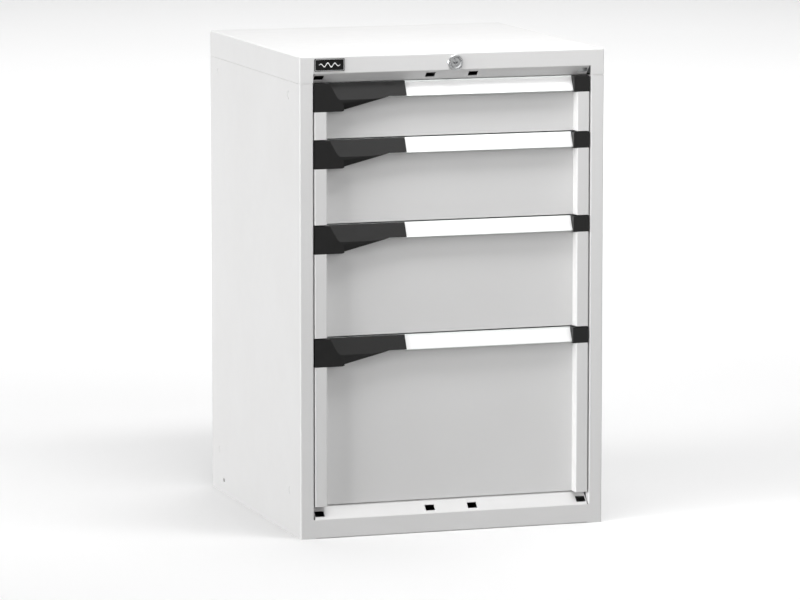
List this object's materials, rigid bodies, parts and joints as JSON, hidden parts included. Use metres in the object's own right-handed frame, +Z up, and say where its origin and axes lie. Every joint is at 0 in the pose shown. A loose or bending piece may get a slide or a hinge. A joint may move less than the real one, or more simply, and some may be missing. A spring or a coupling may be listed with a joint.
{
  "type": "drawer cabinet",
  "caption": "Sheet-steel storage cabinet with full-extension drawers behind recessed fronts, inclined label handles with black grips, and a central key lock in the top rail.",
  "frame": {"origin": "middle of the footprint, on the floor", "axes": "+X to the right, +Y to the back, +Z up, seen from the drawers' side"},
  "size_m": [0.564, 0.576, 0.853],
  "materials": {
    "shell_paint": "very light grey powder coat with a fine orange-peel texture",
    "drawer_paint": "light grey powder coat, fine texture",
    "zinc_steel": "zinc-plated steel",
    "aluminium_profile": "natural anodised extrusion",
    "label_white": "blank white label strip",
    "black_plastic": "fine-grained moulded black plastic",
    "badge_black": "black plate with a thin pale border",
    "lock_metal": "satin nickel plating",
    "roller_nylon": "off-white nylon"
  },
  "bodies": {
    "cabinet": {"left_side_panel": "shell_paint", "right_side_panel": "shell_paint", "back_panel": "shell_paint", "base": "shell_paint", "top_cover": "shell_paint", "rail_posts": "zinc_steel", "cabinet_rails": "zinc_steel", "back_screws": "zinc_steel", "side_plugs": "shell_paint", "badge_plate": "badge_black", "lock_barrel": "lock_metal", "lock_nut": "zinc_steel", "lock_guides": "zinc_steel"},
    "lock_plug": {"lock_plug": "lock_metal"},
    "lock_rack": {"lock_rack": "zinc_steel"},
    "lock_bar": {"lock_bar": "zinc_steel"},
    "drawer_1": {"drawer_1_tray": "drawer_paint", "drawer_1_front": "drawer_paint", "drawer_1_handle": "aluminium_profile", "drawer_1_label": "label_white", "drawer_1_left_grip": "black_plastic", "drawer_1_right_cap": "black_plastic"},
    "catch_1": {"drawer_1_catch": "black_plastic"},
    "carriage_1": {"drawer_1_carriage": "zinc_steel"},
    "front_rollers_1": {"drawer_1_front_rollers": "roller_nylon"},
    "middle_rollers_1": {"drawer_1_middle_rollers": "roller_nylon"},
    "rear_rollers_1": {"drawer_1_rear_rollers": "roller_nylon"},
    "drawer_2": {"drawer_2_tray": "drawer_paint", "drawer_2_front": "drawer_paint", "drawer_2_handle": "aluminium_profile", "drawer_2_label": "label_white", "drawer_2_left_grip": "black_plastic", "drawer_2_right_cap": "black_plastic"},
    "catch_2": {"drawer_2_catch": "black_plastic"},
    "carriage_2": {"drawer_2_carriage": "zinc_steel"},
    "front_rollers_2": {"drawer_2_front_rollers": "roller_nylon"},
    "middle_rollers_2": {"drawer_2_middle_rollers": "roller_nylon"},
    "rear_rollers_2": {"drawer_2_rear_rollers": "roller_nylon"},
    "drawer_3": {"drawer_3_tray": "drawer_paint", "drawer_3_front": "drawer_paint", "drawer_3_handle": "aluminium_profile", "drawer_3_label": "label_white", "drawer_3_left_grip": "black_plastic", "drawer_3_right_cap": "black_plastic"},
    "catch_3": {"drawer_3_catch": "black_plastic"},
    "carriage_3": {"drawer_3_carriage": "zinc_steel"},
    "front_rollers_3": {"drawer_3_front_rollers": "roller_nylon"},
    "middle_rollers_3": {"drawer_3_middle_rollers": "roller_nylon"},
    "rear_rollers_3": {"drawer_3_rear_rollers": "roller_nylon"},
    "drawer_4": {"drawer_4_tray": "drawer_paint", "drawer_4_front": "drawer_paint", "drawer_4_handle": "aluminium_profile", "drawer_4_label": "label_white", "drawer_4_left_grip": "black_plastic", "drawer_4_right_cap": "black_plastic"},
    "catch_4": {"drawer_4_catch": "black_plastic"},
    "carriage_4": {"drawer_4_carriage": "zinc_steel"},
    "front_rollers_4": {"drawer_4_front_rollers": "roller_nylon"},
    "middle_rollers_4": {"drawer_4_middle_rollers": "roller_nylon"},
    "rear_rollers_4": {"drawer_4_rear_rollers": "roller_nylon"}
  },
  "joints": [
    {"name": "lock_turn", "type": "hinge", "parent": "cabinet", "child": "lock_plug", "pos_m": [0.004, -0.286, 0.8355], "axis": [0, 1, 0], "range_deg": [0, 90]},
    {"name": "lock_rack_slide", "type": "slide", "parent": "cabinet", "child": "lock_rack", "axis": [-1, 0, 0], "range_m": [0, 0.0126]},
    {"name": "lock_bar_lift", "type": "slide", "parent": "cabinet", "child": "lock_bar", "axis": [0, 0, 1], "range_m": [0, 0.01257]},
    {"name": "drawer_1_slide", "type": "slide", "parent": "cabinet", "child": "drawer_1", "axis": [0, -1, 0], "range_m": [0, 0.459]},
    {"name": "carriage_1_slide", "type": "slide", "parent": "cabinet", "child": "carriage_1", "axis": [0, -1, 0], "range_m": [0, 0.23]},
    {"name": "front_rollers_1_spin", "type": "hinge", "parent": "carriage_1", "child": "front_rollers_1", "pos_m": [0, -0.198, 0.7435], "axis": [1, 0, 0], "continuous": true},
    {"name": "middle_rollers_1_spin", "type": "hinge", "parent": "carriage_1", "child": "middle_rollers_1", "pos_m": [0, -0.0075, 0.7435], "axis": [1, 0, 0], "continuous": true},
    {"name": "rear_rollers_1_spin", "type": "hinge", "parent": "carriage_1", "child": "rear_rollers_1", "pos_m": [0, 0.183, 0.7435], "axis": [1, 0, 0], "continuous": true},
    {"name": "catch_1_turn", "type": "hinge", "parent": "drawer_1", "child": "catch_1", "pos_m": [-0.24, -0.278, 0.774], "axis": [0, 0, 1], "range_deg": [0, 20]},
    {"name": "drawer_2_slide", "type": "slide", "parent": "cabinet", "child": "drawer_2", "axis": [0, -1, 0], "range_m": [0, 0.459]},
    {"name": "carriage_2_slide", "type": "slide", "parent": "cabinet", "child": "carriage_2", "axis": [0, -1, 0], "range_m": [0, 0.23]},
    {"name": "front_rollers_2_spin", "type": "hinge", "parent": "carriage_2", "child": "front_rollers_2", "pos_m": [0, -0.198, 0.5935], "axis": [1, 0, 0], "continuous": true},
    {"name": "middle_rollers_2_spin", "type": "hinge", "parent": "carriage_2", "child": "middle_rollers_2", "pos_m": [0, -0.0075, 0.5935], "axis": [1, 0, 0], "continuous": true},
    {"name": "rear_rollers_2_spin", "type": "hinge", "parent": "carriage_2", "child": "rear_rollers_2", "pos_m": [0, 0.183, 0.5935], "axis": [1, 0, 0], "continuous": true},
    {"name": "catch_2_turn", "type": "hinge", "parent": "drawer_2", "child": "catch_2", "pos_m": [-0.24, -0.278, 0.674], "axis": [0, 0, 1], "range_deg": [0, 20]},
    {"name": "drawer_3_slide", "type": "slide", "parent": "cabinet", "child": "drawer_3", "axis": [0, -1, 0], "range_m": [0, 0.459]},
    {"name": "carriage_3_slide", "type": "slide", "parent": "cabinet", "child": "carriage_3", "axis": [0, -1, 0], "range_m": [0, 0.23]},
    {"name": "front_rollers_3_spin", "type": "hinge", "parent": "carriage_3", "child": "front_rollers_3", "pos_m": [0, -0.198, 0.3935], "axis": [1, 0, 0], "continuous": true},
    {"name": "middle_rollers_3_spin", "type": "hinge", "parent": "carriage_3", "child": "middle_rollers_3", "pos_m": [0, -0.0075, 0.3935], "axis": [1, 0, 0], "continuous": true},
    {"name": "rear_rollers_3_spin", "type": "hinge", "parent": "carriage_3", "child": "rear_rollers_3", "pos_m": [0, 0.183, 0.3935], "axis": [1, 0, 0], "continuous": true},
    {"name": "catch_3_turn", "type": "hinge", "parent": "drawer_3", "child": "catch_3", "pos_m": [-0.24, -0.278, 0.524], "axis": [0, 0, 1], "range_deg": [0, 20]},
    {"name": "drawer_4_slide", "type": "slide", "parent": "cabinet", "child": "drawer_4", "axis": [0, -1, 0], "range_m": [0, 0.459]},
    {"name": "carriage_4_slide", "type": "slide", "parent": "cabinet", "child": "carriage_4", "axis": [0, -1, 0], "range_m": [0, 0.23]},
    {"name": "front_rollers_4_spin", "type": "hinge", "parent": "carriage_4", "child": "front_rollers_4", "pos_m": [0, -0.198, 0.0935], "axis": [1, 0, 0], "continuous": true},
    {"name": "middle_rollers_4_spin", "type": "hinge", "parent": "carriage_4", "child": "middle_rollers_4", "pos_m": [0, -0.0075, 0.0935], "axis": [1, 0, 0], "continuous": true},
    {"name": "rear_rollers_4_spin", "type": "hinge", "parent": "carriage_4", "child": "rear_rollers_4", "pos_m": [0, 0.183, 0.0935], "axis": [1, 0, 0], "continuous": true},
    {"name": "catch_4_turn", "type": "hinge", "parent": "drawer_4", "child": "catch_4", "pos_m": [-0.24, -0.278, 0.324], "axis": [0, 0, 1], "range_deg": [0, 20]}
  ],
  "couplings": [
    {"joint": "lock_rack_slide", "follows": "lock_bar_lift", "ratio": 1},
    {"joint": "lock_turn", "follows": "lock_bar_lift", "rad_per_m": 125},
    {"joint": "carriage_1_slide", "follows": "drawer_1_slide", "ratio": 0.5},
    {"joint": "front_rollers_1_spin", "follows": "drawer_1_slide", "rad_per_m": 45.455},
    {"joint": "middle_rollers_1_spin", "follows": "drawer_1_slide", "rad_per_m": 45.455},
    {"joint": "rear_rollers_1_spin", "follows": "drawer_1_slide", "rad_per_m": 45.455},
    {"joint": "carriage_2_slide", "follows": "drawer_2_slide", "ratio": 0.5},
    {"joint": "front_rollers_2_spin", "follows": "drawer_2_slide", "rad_per_m": 45.455},
    {"joint": "middle_rollers_2_spin", "follows": "drawer_2_slide", "rad_per_m": 45.455},
    {"joint": "rear_rollers_2_spin", "follows": "drawer_2_slide", "rad_per_m": 45.455},
    {"joint": "carriage_3_slide", "follows": "drawer_3_slide", "ratio": 0.5},
    {"joint": "front_rollers_3_spin", "follows": "drawer_3_slide", "rad_per_m": 45.455},
    {"joint": "middle_rollers_3_spin", "follows": "drawer_3_slide", "rad_per_m": 45.455},
    {"joint": "rear_rollers_3_spin", "follows": "drawer_3_slide", "rad_per_m": 45.455},
    {"joint": "carriage_4_slide", "follows": "drawer_4_slide", "ratio": 0.5},
    {"joint": "front_rollers_4_spin", "follows": "drawer_4_slide", "rad_per_m": 45.455},
    {"joint": "middle_rollers_4_spin", "follows": "drawer_4_slide", "rad_per_m": 45.455},
    {"joint": "rear_rollers_4_spin", "follows": "drawer_4_slide", "rad_per_m": 45.455}
  ]
}
